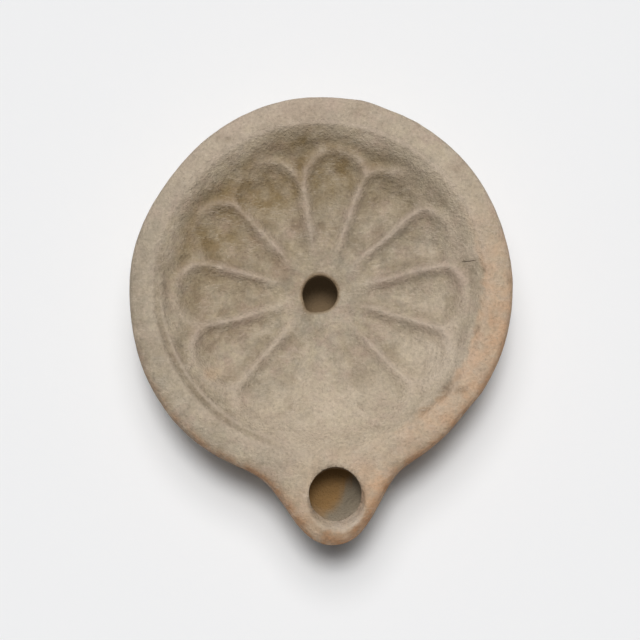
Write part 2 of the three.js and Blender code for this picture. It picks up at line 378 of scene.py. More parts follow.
@dataclass(frozen=True)
class WickHole:
    """The hole that the wick lies in, and the lip that burning and trimming wore around it.

    The lip is dished as if by a ball, whose middle and radius are given. The front of the hole's edge is
    worn down further by the flare, whose limits are measured from the hole's middle and from its edge.
    """

    x: float = 3.1
    y: float = -42.1
    radius: float = 5.4
    taper: float = 0.15
    lip_x: float = 3.4
    lip_y: float = -44.2
    lip_z: float = 30.2
    lip_radius: float = 7.4
    softness: float = 0.4
    flare: float = 2.0
    flare_lean: float = 0.2
    flare_front: Pair = (-2.0, 4.0)
    flare_edge: Pair = (-1.2, 1.3)

    def past_edge(self, x: float, y: float) -> float:
        """Return the distance from the hole's edge, negative inside the hole."""
        return math.hypot(x - self.x, y - self.y) - self.radius

    def from_lip(self, x: float, y: float) -> float:
        """Return the distance from the middle of the lip's dish."""
        return math.hypot(x - self.lip_x, y - self.lip_y)

    def lip_angle(self, x: float, y: float) -> float:
        """Return the direction from the middle of the lip's dish."""
        return math.degrees(math.atan2(y - self.lip_y, x - self.lip_x))

    def dished(self, x: float, y: float, height: float) -> float:
        """Return the height of the nozzle's top, worn into a shallow dish around the hole."""
        off = self.from_lip(x, y)
        if off >= self.lip_radius:
            return height
        dish = self.lip_z - math.sqrt(self.lip_radius**2 - off**2)
        share = min(max(0.5 + 0.5 * (height - dish) / self.softness, 0.0), 1.0)
        dished = height + (dish - height) * share - self.softness * share * (1.0 - share)
        front = share * ramp(self.y - y + self.flare_lean * (x - self.x), *self.flare_front)
        return dished - self.flare * front * (1.0 - ramp(self.past_edge(x, y), *self.flare_edge))


@dataclass(frozen=True)
class Profile:
    """The points that the turned form's curves run through, each a radius and a height.

    A rim point's height is its drop below the crest. A corner point, where the chamber's roof turns down
    into its wall, also says how much of the plan outline it follows.
    """

    base: Points = ((0.0, 0.0), (13.6, 0.0), (14.2, 0.0))
    base_groove: Points = ((14.5, 0.15), (14.9, 0.42), (15.3, 0.15))
    foot: Points = ((15.6, 0.0), (17.2, 0.0), (17.6, 0.12))
    bowl: Points = ((18.5, 0.7), (21.6, 2.1), (25.8, 4.6), (30.6, 8.4))
    shoulder: Points = ((34.8, 13.2), (37.6, 17.6), (39.2, 21.0), (39.5, 23.1))
    rim: Points = ((39.5, 2.9), (39.1, 1.5), (38.2, 0.7), (36.6, 0.25), (35.0, 0.0), (34.2, 0.1))
    roof_radii: tuple[float, ...] = (4.4, 9.0, 14.0, 22.0, 27.0, 30.6)
    corner_inner: Corner = ((32.2, 20.2, 0.04), (33.4, 21.2, 0.1), (34.2, 21.7, 0.3))
    corner_outer: Corner = ((34.8, 21.9, 0.55), (35.5, 21.6, 0.85))
    chamber_wall: Points = ((35.9, 21.0), (34.8, 19.1), (32.3, 15.1), (28.4, 10.7))
    chamber_floor: Points = ((24.0, 7.2), (20.1, 4.9), (14.0, 3.5), (0.0, 3.4))
    floor_lift: float = 1.6


@dataclass(frozen=True)
class Ring:
    """One ring of the turned form, before it is pressed out of round."""

    radius: float
    height: float
    follows: float = 0.0  # how much of the outline's departures it takes
    lining: float = 0.0  # 1 inside the chamber and the filling hole


class Layer(Enum):
    """What each point of the surface remembers for its shaping and its colours."""

    FOLLOWS = "follows"
    LINING = "lining"
    # The crest mask is partly a painted highlight, the crease and soil masks are partly painted shade, and
    # the pale mask is partly painted light.
    CREST = "crest"
    CREASE = "crease"
    WARM = "warm"
    GREY = "grey"
    SOIL = "soil"
    PINK = "pink"
    RUST = "rust"
    CHALK = "chalk"
    PALE = "pale"
    PIT = "pit"
    ASH = "ash"


Layers = dict[Layer, Any]


@dataclass
class LampBody:
    """The lamp: one hollow vessel with a dished discus, a filling hole and a nozzle."""

    node: str = "lamp_body"
    slot: str = "terracotta"
    height: float = 26.0
    discus_depth: float = 7.0
    discus_rise: float = 3.3
    border_from: float = 27.6
    roof_drop: float = 3.6
    upper: float = 12.0  # everything stamped, poked or dished lies above this height
    segments: int = 420
    profile: Profile = Profile()
    outline: Outline = Outline()
    rosette: Rosette = Rosette()
    filling_hole: FillingHole = FillingHole()
    wick_hole: WickHole = WickHole()
    # the rim's inner edge: a low bead, and a pale line that is partly rubbed clay, partly a painted highlight
    # on the side the lights come from
    rim_crest: Rib = Rib(34.1, 0.18, 0.7, 0.5, Sector(70, 60))
    border_ridge: Rib = Rib(32.2, 0.3, 0.45, 0.5, Sector(216, 36, 3))
    border_groove: Rib = Rib(33.15, -0.55, 0.5, 0.55, Sector(216, 36, 3))
    wear: Points = ((11.0, 0.14), (2.6, 0.05), (1.0, 0.025))  # size and depth of each kind of unevenness
    lining_wear: float = 0.4

    marks: tuple[Mark, ...] = (
        Mark(25.0, -21.2, 2.4, 0.95, 50, 0.75),
        Mark(21.4, -24.7, 2.3, 0.7, 40, 0.5),
        Mark(28.6, -21.4, 1.3, 0.55, -8, 0.5),
        Mark(27.9, -18.4, 0.9, 0.55, 60, 0.4),
        Mark(31.4, -8.9, 1.1, 0.5, 78, 0.4),
        Mark(31.4, -12.2, 0.8, 0.4, 70, 0.3),
        Mark(11.7, -28.4, 0.9, 0.5, 30, 0.25),
        Mark(8.4, -24.1, 1.2, 0.4, -50, 0.25),
        Mark(33.0, 3.1, 0.9, 0.6, 80, 0.3),
        Mark(32.4, 8.8, 0.5, 0.4, 0, 0.25),
        Mark(38.6, 1.3, 0.9, 0.5, 85, 0.3),
        Mark(-18.9, 30.4, 0.9, 0.7, 30, 0.35),
        Mark(-4.6, 25.5, 0.8, 0.6, 80, 0.3),
        Mark(-12.4, -19.0, 0.7, 0.55, 20, 0.25),
        Mark(-6.2, -24.1, 0.8, 0.55, 120, 0.25),
        Mark(26.8, 5.9, 1.0, 0.8, 0, -0.35),
        Mark(31.0, 7.2, 1.5, 1.3, 0, -0.2),
    )

    def build(self) -> bpy.types.Object:
        """Model the lamp and return its finished object."""
        bm = bmesh.new()
        layers = {layer: bm.verts.layers.float.new(layer.value) for layer in Layer}
        self._spin(bm, layers)
        self._press(bm, layers)
        self._weather(bm, layers)
        body = add_object(self.node + "_clay", bm)
        self._bore(body)
        LOG.info("%s: %d points", body.name, len(body.data.vertices))
        return body

    @property
    def rim_inner_radius(self) -> float:
        """Return the radius at which the flat rim drops into the discus."""
        return self.profile.rim[-1][0]

    def discus_height(self, radius: float) -> float:
        """Return the height of the plain discus and its border, without the rosette."""
        end = self.rosette.top
        edge = self.height - self.profile.rim[-1][1]
        middle = edge - self.discus_depth
        dish = middle + self.discus_rise * (radius / end) ** 2
        left = edge - middle - self.discus_rise * (self.rim_inner_radius / end) ** 2
        return dish + left * ramp(radius, self.border_from, self.rim_inner_radius)

    def _outside_rings(self) -> list[Ring]:
        """Return the rings from the middle of the base up to the rim's inner edge."""
        cut = self.profile
        base = smooth_line(cut.base, 2.4) + smooth_line(cut.base_groove, 0.4) + smooth_line(cut.foot, 0.8)
        rings = [Ring(r, max(z, 0.0)) for r, z in base]
        rings += [Ring(r, z, self.outline.share(z)) for r, z in smooth_line(cut.bowl + cut.shoulder, 1.1)]
        across = cut.rim[0][0] - self.rim_inner_radius
        for r, drop in smooth_line(cut.rim, 0.26)[1:]:
            rings.append(Ring(r, self.height - drop, max(r - self.rim_inner_radius, 0.0) / across))
        return rings

    def _discus_rings(self) -> list[Ring]:
        """Return the rings from the rim's inner edge to the filling hole's rounded edge."""
        inner = self.filling_hole.radius + self.filling_hole.edge
        across = self.rim_inner_radius - inner
        count = round(across / 0.42)
        radii = [self.rim_inner_radius - across * i / count for i in range(1, count + 1)]
        return [Ring(r, self.discus_height(r)) for r in radii]

    def _hole_rings(self) -> list[Ring]:
        """Return the rings over the filling hole's rounded edge and down to the chamber's roof."""
        hole = self.filling_hole
        inner = hole.radius + hole.edge
        top = self.discus_height(inner) - hole.edge
        rings = []
        for i in range(1, 7):
            a = math.radians(15 * i)
            rings.append(Ring(inner - hole.edge * math.sin(a), top + hole.edge * math.cos(a), 0.0, i / 6))
        bottom = self.discus_height(0) - self.roof_drop
        for z in (top - 0.8, top - 1.5, bottom + 0.3):
            rings.append(Ring(hole.radius, z, 0.0, 1.0))
        rings.append(Ring(hole.radius + 0.3, bottom, 0.0, 1.0))
        return rings

    def _chamber_rings(self) -> list[Ring]:
        """Return the oil chamber's rings, from the roof's middle, down the wall, to the floor's middle."""
        cut = self.profile
        roof = [(r, self.discus_height(min(r, self.rosette.top)) - self.roof_drop) for r in cut.roof_radii]
        rings = [Ring(r, z, 0.0, 1.0) for r, z in smooth_line(roof, 2.2)]
        rings += [Ring(r, z, follows, 1.0) for r, z, follows in cut.corner_inner + cut.corner_outer]
        for r, z in smooth_line(cut.chamber_wall + cut.chamber_floor, 1.9):
            rings.append(Ring(r, z, self.outline.share(z - cut.floor_lift), 1.0))
        return rings

    def _spin(self, bm: bmesh.types.BMesh, layers: Layers) -> None:
        """Turn the profile into a closed vessel around the upright axis.

        Args:
            bm: Empty mesh to fill.
            layers: The mesh's point layers.
        """
        rings = self._outside_rings() + self._discus_rings() + self._hole_rings() + self._chamber_rings()
        points = []
        for ring in rings:
            point = bm.verts.new((ring.radius, 0.0, ring.height))
            point[layers[Layer.FOLLOWS]] = ring.follows
            point[layers[Layer.LINING]] = ring.lining
            points.append(point)
        lines = [bm.edges.new(pair) for pair in zip(points, points[1:])]
        bmesh.ops.spin(
            bm,
            geom=points + lines,
            cent=(0, 0, 0),
            axis=(0, 0, 1),
            angle=math.tau,
            steps=self.segments,
            use_merge=True,
        )
        bmesh.ops.remove_doubles(bm, verts=bm.verts, dist=1e-4)
        bmesh.ops.recalc_face_normals(bm, faces=bm.faces)

    def _press(self, bm: bmesh.types.BMesh, layers: Layers) -> None:
        """Press the turned form out of round, draw the nozzle out of it and stamp the discus.

        Args:
            bm: The spun vessel.
            layers: The mesh's point layers.
        """
        for point in bm.verts:
            radius = math.hypot(point.co.x, point.co.y)
            if radius < 1e-6:
                continue
            angle = math.degrees(math.atan2(point.co.y, point.co.x))
            follows, lining = point[layers[Layer.FOLLOWS]], point[layers[Layer.LINING]]
            if follows > 0:
                drawn = self.outline.gathered(angle)
                angle += turn(drawn, angle) * min(follows * 3, 1.0) * (1.0 - lining)
                radius += self.outline.departure(angle, lining) * follows
            x, y = radius * math.cos(math.radians(angle)), radius * math.sin(math.radians(angle))
            height = point.co.z
            if height > self.upper:
                if radius < self.filling_hole.uneven_to:
                    x, y = self.filling_hole.pushed(x, y, radius, angle)
                if lining < 1 and radius < self.rim_inner_radius:
                    height += self._stamped(x, y, radius, angle) * (1.0 - lining)
                if lining == 0:
                    height = self.wick_hole.dished(x, y, height)
            point.co = (x, y, height)
        bm.normal_update()

    def _stamped(self, x: float, y: float, radius: float, angle: float) -> float:
        """Return the height that the mould's rosette and fine border lines add to the discus."""
        lines = (self.rim_crest, self.border_ridge, self.border_groove)
        return self.rosette.relief(x, y) + sum(line.rise(radius, angle) for line in lines)

    def _weather(self, bm: bmesh.types.BMesh, layers: Layers) -> None:
        """Wear the skin down unevenly, cut its pits and raise its lumps, and bring the lamp to metres.

        Args:
            bm: The pressed vessel, in millimetres.
            layers: The mesh's point layers.
        """
        for point in bm.verts:
            outside = 1.0 - point[layers[Layer.LINING]]
            if point.co.z < FOOT_HEIGHT:
                continue
            cut = sum(depth * (noise.noise(point.co / size) - 1.0) for size, depth in self.wear)
            if outside > 0.5 and point.co.z > MARKS_ABOVE:
                cut -= sum(mark.depth * mark.cover(point.co.x, point.co.y) for mark in self.marks)
            point.co += point.normal * cut * (self.lining_wear + (1.0 - self.lining_wear) * outside)
        bmesh.ops.scale(bm, vec=(MM, MM, MM), verts=bm.verts)

    def _wick_cutter(self) -> bpy.types.Object:
        """Return the round bar, a little uneven, that the wick hole is poked with."""
        hole = self.wick_hole
        bm = bmesh.new()
        bmesh.ops.create_cone(
            bm, cap_ends=True, segments=96, radius1=hole.radius - hole.taper, radius2=hole.radius, depth=10.0
        )
        upright = [edge for edge in bm.edges if abs(edge.verts[0].co.z - edge.verts[1].co.z) > 1]
        bmesh.ops.subdivide_edges(bm, edges=upright, cuts=14)
        for point in bm.verts:
            point.co += Vector((point.co.x, point.co.y, 0)) * 0.03 * noise.noise(point.co / 3.0)
        bmesh.ops.translate(bm, vec=(hole.x, hole.y, self.height - 0.8), verts=bm.verts)
        bmesh.ops.scale(bm, vec=(MM, MM, MM), verts=bm.verts)
        lining = bm.verts.layers.float.new(Layer.LINING.value)
        for point in bm.verts:
            point[lining] = 1.0
        return add_object("wick_cutter", bm)

    def _bore(self, body: bpy.types.Object) -> None:
        """Cut the wick hole through the nozzle's top into the chamber.

        Args:
            body: The lamp, whose mesh is replaced by the cut one.
        """
        cutter = self._wick_cutter()
        cut = body.modifiers.new("wick_hole", "BOOLEAN")
        cut.operation = "DIFFERENCE"
        cut.solver = "MANIFOLD"
        cut.object = cutter
        shown = body.evaluated_get(bpy.context.evaluated_depsgraph_get())
        bored = bpy.data.meshes.new_from_object(shown)
        body.modifiers.clear()
        old, body.data = body.data, bored
        bored.materials.clear()
        bored.name = body.name
        bpy.data.meshes.remove(old)
        bpy.data.objects.remove(cutter)


# ---- where the colours lie


@dataclass(frozen=True)
class Patch:
    """A round place on the lamp's top where one stain shows."""

    layer: Layer
    x: float
    y: float
    radius: float
    strength: float

    def cover(self, x: float, y: float) -> float:
        """Return how much of the stain shows at a point, from 0 to 1."""
        return self.strength * bell(math.hypot(x - self.x, y - self.y), self.radius, 3.0)


@dataclass(frozen=True)
class Zone:
    """A part of the lamp that a colour lies on: a sector of a band, at some strength."""

    sector: Sector
    band: Band = Band()
    strength: float = 1.0

    def cover(self, radius: float, angle: float) -> float:
        """Return how much of a point the zone covers."""
        return self.strength * self.sector.cover(angle) * self.band.cover(radius)


@dataclass(frozen=True)
class Spot:
    """One point of the finished surface and what its colours depend on, in millimetres and degrees."""

    x: float
    y: float
    z: float
    radius: float
    angle: float
    outside: float  # 0 in the chamber and the holes
    on_top: float  # 0 below the lamp's shoulder too
    facing_up: float  # 0 where the top hangs over too
    ragged: float  # a small uneven shift that frays the edges of stains


RIM = Band(32.5, 35.5)
TOP_HEIGHTS = (16.0, 18.0)  # heights over which the lamp's top begins
SIDE_HEIGHTS = (6.0, 21.0)  # heights over which the rim's stains fade down the sides


@dataclass(frozen=True)
class Tints:
    """Where each colour lies on the lamp, as firing, use, burial and handling left it, and where light and
    shade are painted into it.

    The dish is the part of the discus that holds soil, which thins out up the dish's wall; on the dish's back
    side, away from the lights, this soil is partly painted shade. The pale zones are rubbed clay, and the
    dull rim is where it isn't rubbed; the pale on the dish's front side, which faces the lights, and on the
    top of its back wall is partly painted light. The burnt sector is the nozzle's tip.
    """

    lamp: LampBody
    discus: Band = Band(fade=33.8, gone=34.4)
    dish: Band = Band(fade=33.0, gone=33.6)
    dish_wall: Band = Band(fade=28.0, gone=32.5, left=0.25)
    warm_rim: Zone = Zone(Sector(338, 40, 3), Band(32.2, 33.4))
    pink_rim: Zone = Zone(Sector(115, 50), RIM)
    grey_rims: tuple[Zone, ...] = (Zone(Sector(168, 34), RIM), Zone(Sector(215, 28), RIM, 0.7))
    grey_dish: Zone = Zone(Sector(52, 40), Band(8, 24, 28.5, 31, 0.2), 0.85)
    # partly soil, partly painted shade: it lies on the dish's back side, away from the lights
    soils_and_shade: tuple[Zone, ...] = (Zone(Sector(110, 62, 3), Band(14, 25)), Zone(Sector(150, 70, 3), Band(), 0.35))
    # pale dish: rubbed clay, and on the front side, which faces the lights, partly painted light
    pale_dish_and_painted_light: tuple[Zone, ...] = (
        Zone(Sector(295, 66, 4), Band(11, 26)),
        Zone(Sector(5, 48, 3), Band(28, 31)),
    )
    pale_border: Zone = Zone(Sector(15, 50), Band(30, 33, 35, 39), 0.35)
    pale_rim: Sector = Sector(150, 28)
    dull_rim: Sector = Sector(215, 40)
    # a pale band on the top of the dish's back wall, which lies in shade: partly the rim's pale clay, partly
    # painted light
    pale_crest_and_painted_light: Sector = Sector(125, 52, 3)
    burnt: Zone = Zone(Sector(280, 75, 4), Band(35.7, 36.7))
    burnt_heights: Band = Band(9, 22, 24.4, 25.5)
    unburnt_lip: Pair = (5.5, 6.1)
    chalk: Zone = Zone(Sector(305, 66, 4), Band(fade=5.2, gone=6.2), 0.85)  # about the lip's middle
    lip_line: Rib = Rib(6.3, 0.0, 0.45, 0.45, Sector(290, 75, 4))  # about the lip's middle too
    flank_offset: float = 2.1  # a petal's border is darkest this far from its crest: dirt and painted shade in the crease
    flank_width: float = 1.1
    chip_width: float = 0.35
    chip_front: Pair = (-40.5, -37.0)
    ash_edge: Pair = (-0.8, 1.2)
    patches: tuple[Patch, ...] = (
        Patch(Layer.GREY, -12.4, -20.7, 3.2, 0.9),
        Patch(Layer.CHALK, 25.5, -14.0, 6.5, 0.5),
        Patch(Layer.GREY, 17.9, 24.4, 4.0, 0.6),
        Patch(Layer.GREY, 6.0, 2.0, 5.0, 0.5),
        # soil at the back of the dish, partly painted shade
        Patch(Layer.SOIL, -4.0, 29.5, 6.0, 0.5),
        Patch(Layer.PALE, 2.0, -35.5, 6.0, 0.6),
        Patch(Layer.PINK, 31.0, 7.2, 1.9, 1.0),
        Patch(Layer.PINK, 8.5, -36.0, 2.2, 0.9),
        Patch(Layer.PINK, -6.0, -32.0, 6.0, 0.7),
        Patch(Layer.WARM, -22.1, -17.4, 1.5, 0.9),
        Patch(Layer.WARM, 5.0, -45.0, 11.0, 0.5),
        Patch(Layer.WARM, 12.5, -42.0, 5.0, 0.6),
    )

    def write(self, body: bpy.types.Object) -> None:
        """Write the masks that the clay's finish reads.

        Args:
            body: The bored lamp.
        """
        bm = bmesh.new()
        bm.from_mesh(body.data)
        bm.normal_update()
        layers = {layer: bm.verts.layers.float.get(layer.value) for layer in Layer}
        for point in bm.verts:
            lining = point[layers[Layer.LINING]]
            spot = self._spot(point, lining)
            masks = self._carving(spot) | self._nozzle(spot) | self._stains(spot)
            for patch in self.patches:
                cover = patch.cover(spot.x, spot.y) * spot.facing_up
                masks[patch.layer] = min(masks[patch.layer] + cover, 1.0)
            # Painted light: the top of the wick hole's wall takes less of the dark lining colour and of its
            # glow, so it shows the paler outer clay where that wall lies in shade.
            if lining > 0.0 and self.lamp.wick_hole.past_edge(spot.x, spot.y) < 0.6:
                masks[Layer.LINING] = 1.0 - 0.6 * ramp(spot.z, 16.0, 21.0)
            for layer, share in masks.items():
                point[layers[layer]] = share
        bm.to_mesh(body.data)
        bm.free()

    def _spot(self, point: bmesh.types.BMVert, lining: float) -> Spot:
        """Return what the colours of a mesh point depend on."""
        x, y, z = point.co / MM
        outside = 1.0 - lining
        on_top = outside * ramp(z, *TOP_HEIGHTS)
        facing_up = on_top * ramp(point.normal.z, 0.1, 0.4)
        ragged = 0.9 * noise.noise(point.co / (2.4 * MM)) + 0.5 * noise.noise(point.co / (0.9 * MM))
        angle = math.degrees(math.atan2(y, x)) % 360.0
        return Spot(x, y, z, math.hypot(x, y), angle, outside, on_top, facing_up, ragged)

    def _carving(self, spot: Spot) -> dict[Layer, float]:
        """Return the masks that follow the carving: pale crests, rubbed and on the rim's edge partly a
        painted highlight; dark creases, partly dirt and partly painted shade; and dirt in the pits.
        """
        lamp, hole = self.lamp, self.lamp.wick_hole
        radius, angle, crest = spot.radius, spot.angle, lamp.rim_crest
        off, kept = lamp.rosette.nearest(spot.x, spot.y)
        strength = lamp.rosette.strength(spot.x, spot.y) * kept * spot.on_top * self.discus.cover(radius)
        # a pale line on the rim's inner edge, strongest at the back where the lights are: partly rubbed clay,
        # partly a painted highlight
        edge = 0.3 * bell(radius - crest.radius, crest.tint_width) + 0.7 * crest.tint(radius, angle)
        ridge = lamp.border_ridge.tint(radius, angle)
        # the border groove is darkened: dirt and painted shade in the groove
        groove = lamp.border_groove.tint(radius, angle) * spot.on_top
        # dark flanks beside the petals' borders: dirt and painted shade in the creases
        flanks = bell(abs(off) - self.flank_offset, self.flank_width) * strength
        lip = hole.from_lip(spot.x, spot.y), hole.lip_angle(spot.x, spot.y)
        lip_line = self.lip_line.tint(*lip) * spot.facing_up
        cuts = sum(mark.depth * mark.cover(spot.x, spot.y) for mark in lamp.marks if mark.depth > 0)
        past_edge = hole.past_edge(spot.x, spot.y) - 0.2 + 0.5 * spot.ragged
        chips = bell(past_edge, self.chip_width) * ramp(spot.y + 0.6 * spot.x, *self.chip_front)
        return {
            Layer.CREST: max(bell(off, 1.0) * strength, edge * spot.on_top, 0.7 * ridge * spot.on_top),
            Layer.CREASE: min(0.8 * flanks + 0.9 * groove + 0.7 * lip_line, 1.0),
            Layer.PIT: min(1.3 * cuts * spot.on_top + 0.45 * groove + 0.5 * chips * spot.facing_up, 1.0),
        }

    def _nozzle(self, spot: Spot) -> dict[Layer, float]:
        """Return the masks of the burnt tip, the dust in the lip's dish and the ash inside."""
        hole = self.lamp.wick_hole
        lip = hole.from_lip(spot.x, spot.y)
        burnt = self.burnt.cover(spot.radius, spot.angle) * self.burnt_heights.cover(spot.z)
        burnt *= ramp(lip + 0.6 * spot.ragged, *self.unburnt_lip)
        chalk = self.chalk.cover(lip + 0.4 * spot.ragged, hole.lip_angle(spot.x, spot.y))
        ash = 0.87 * (spot.x - hole.lip_x) - 0.5 * (spot.y + 42.4) + 1.3 * spot.ragged
        return {
            Layer.RUST: burnt * spot.outside,
            Layer.CHALK: chalk * spot.facing_up,
            Layer.ASH: (1.0 - spot.outside) * (ramp(ash, *self.ash_edge) if spot.y < -25 else 0.5),
        }

    def _stains(self, spot: Spot) -> dict[Layer, float]:
        """Return the masks of the broad stains, which fade down the lamp's sides and up the dish's wall.

        The soil on the dish's back side is partly painted shade, and the pale on its front side and on its
        back wall's top is partly painted light.
        """
        radius, angle = spot.radius, spot.angle
        sides = spot.outside * ramp(spot.z + 1.6 * spot.ragged, *SIDE_HEIGHTS)
        dish = spot.on_top * self.discus.cover(radius)
        # pale dish: rubbed clay, partly painted light on the front side facing the lights
        pale_dish_and_painted_light = dish * max(zone.cover(radius, angle) for zone in self.pale_dish_and_painted_light)
        dish *= self.dish.cover(radius + spot.ragged) * self.dish_wall.cover(radius)
        grey_rim = sides * max(zone.cover(radius, angle) for zone in self.grey_rims)
        pale_rim = sides * RIM.cover(radius) * (0.5 + 0.5 * self.pale_rim.cover(angle))
        pale_rim *= 1.0 - self.dull_rim.cover(angle)
        border = self.pale_border
        pale_border = spot.on_top * (0.65 * border.band.cover(radius) + border.cover(radius, angle))
        # pale crest: the rim's pale clay over the shaded top of the dish's back wall, partly painted light
        crest = spot.on_top * self.pale_crest_and_painted_light.cover(angle) * bell(radius + 0.5 * spot.ragged - 33.9, 0.9)
        return {
            Layer.WARM: sides * self.warm_rim.cover(radius + spot.ragged, angle),
            Layer.PINK: sides * self.pink_rim.cover(radius, angle),
            Layer.GREY: max(dish * self.grey_dish.cover(radius, angle), grey_rim),
            # soil on the dish's back side, partly painted shade
            Layer.SOIL: dish * min(sum(zone.cover(radius, angle) for zone in self.soils_and_shade), 1.0),
            Layer.PALE: max(pale_dish_and_painted_light, pale_rim, pale_border, crest),
        }


# ---- finishes


def linear(colour: str) -> tuple[float, float, float, float]:
    """Return a linear colour from an sRGB hex value such as "#c0a080"."""
    parts = [int(colour[i : i + 2], 16) / 255 for i in (1, 3, 5)]
    r, g, b = (p / 12.92 if p <= 0.04045 else ((p + 0.055) / 1.055) ** 2.4 for p in parts)
    return r, g, b, 1.0


# Sockets by number: a map range takes its value, from-low, from-high, to-low and to-high as 0 to 4. A colour
# mix takes its share as 0 and its lower and upper colours as 6 and 7, and gives its result as output 2.


def add_node(tree: bpy.types.NodeTree, kind: str, inputs: dict | None = None, **settings: Any) -> Any:
    """Add a node to a tree.

    Args:
        tree: Tree that gets the node.
        kind: The shader node's type name.
        inputs: Value or output socket for each input, by name or number.
        settings: Properties set on the node first.

    Returns:
        The node's outputs.
    """
    node = tree.nodes.new("ShaderNode" + kind)
    for name, value in settings.items():
        setattr(node, name, value)
    for key, value in (inputs or {}).items():
        if isinstance(value, bpy.types.NodeSocket):
            tree.links.new(value, node.inputs[key])
        else:
            node.inputs[key].default_value = value
    return node.outputs


@dataclass(frozen=True)
class Stain:
    """A colour that lies over the clay in uneven patches, all over it or where a mask says so."""

    colour: str
    patch_mm: float
    least: float  # its share between its patches
    most: float  # its share in them
    mask: Layer | None = None
    seed: float = 0.0  # tells apart the scatterings of stains without a mask


@dataclass(frozen=True)
class Crack:
    """A hair-thin crack in the dish's wall, running straight towards the rim, in millimetres."""

    start_x: float
    end_x: float
    y: float
    width: float
    wander: float = 1.0
    above: float = 17.0  # it doesn't reach the underside
    colour: str = "#3d3224"


@dataclass(frozen=True)
class Scratches:
    """Fine pale scratches that run much the same way, in scattered places."""

    lean: float
    length_mm: float
    width_mm: float
    share: float
    fineness: float = 0.018
    edge: Pair = (0.48, 0.56)


@dataclass
class Skin:
    """A finish while it is built up: what adds its nodes, where it reads its place, and its colour so far."""

    add: Adder
    place: Any
    colour: Any


